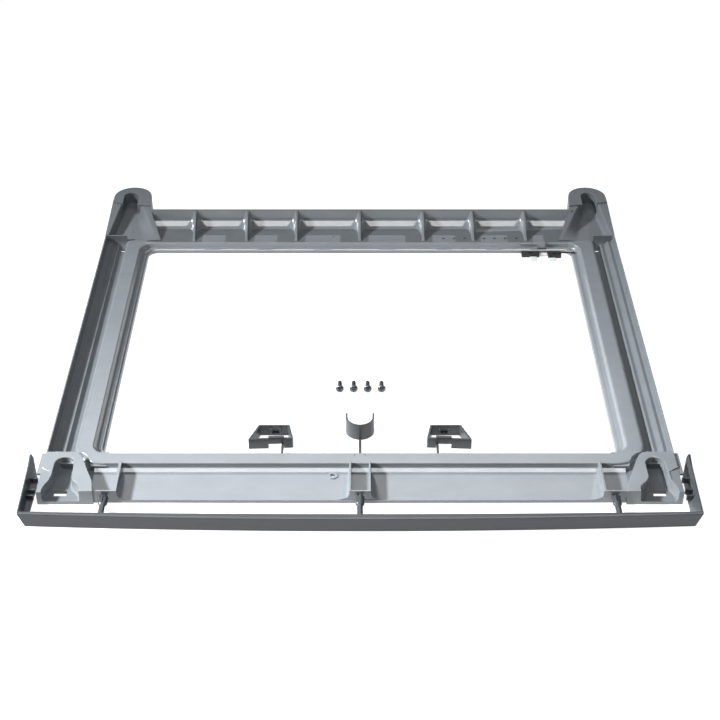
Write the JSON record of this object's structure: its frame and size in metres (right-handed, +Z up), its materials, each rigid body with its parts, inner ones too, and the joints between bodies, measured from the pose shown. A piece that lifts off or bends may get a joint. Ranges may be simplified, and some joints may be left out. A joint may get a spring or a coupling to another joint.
{
  "type": "washer dryer stacking kit",
  "caption": "Grey moulded ring frame that joins a tumble dryer to a washer, with keyed foot pockets, a sliding front trim, loose foot locks, screws and a cable clip.",
  "frame": {"origin": "bottom centre of the whole kit's box, on the washer's top", "axes": "+X to the right, +Y to the rear, +Z up; the trim is at -Y"},
  "size_m": [0.6, 0.5702, 0.028],
  "materials": {
    "frame_grey": "semi-gloss mid grey moulding",
    "trim_grey": "satin darker grey moulding",
    "lock_grey": "satin grey moulding",
    "zinc_steel": "dull zinc plating",
    "black_nylon": "black moulding",
    "natural_nylon": "milky unpigmented moulding"
  },
  "bodies": {
    "frame": {"front_rail": "frame_grey", "rear_rail": "frame_grey", "left_rail": "frame_grey", "right_rail": "frame_grey", "front_left_pocket": "frame_grey", "front_right_pocket": "frame_grey", "rear_left_pocket": "frame_grey", "rear_right_pocket": "frame_grey", "foot_lock_left": "lock_grey", "foot_lock_right": "lock_grey", "half_sleeve": "lock_grey", "runner_left": "lock_grey", "runner_right": "lock_grey", "runner_centre": "lock_grey", "screw_1": "zinc_steel", "screw_2": "zinc_steel", "screw_3": "zinc_steel", "screw_4": "zinc_steel", "clip_strap": "black_nylon", "clip_housing_a": "black_nylon", "clip_housing_b": "black_nylon", "clip_tail": "black_nylon", "clip_bridge": "natural_nylon", "clip_tab_a": "natural_nylon", "clip_tab_b": "natural_nylon"},
    "trim": {"front_trim": "trim_grey"}
  },
  "joints": [
    {"name": "trim_slide", "type": "slide", "parent": "frame", "child": "trim", "axis": [0, 1, 0], "range_m": [0, 0.026]}
  ]
}
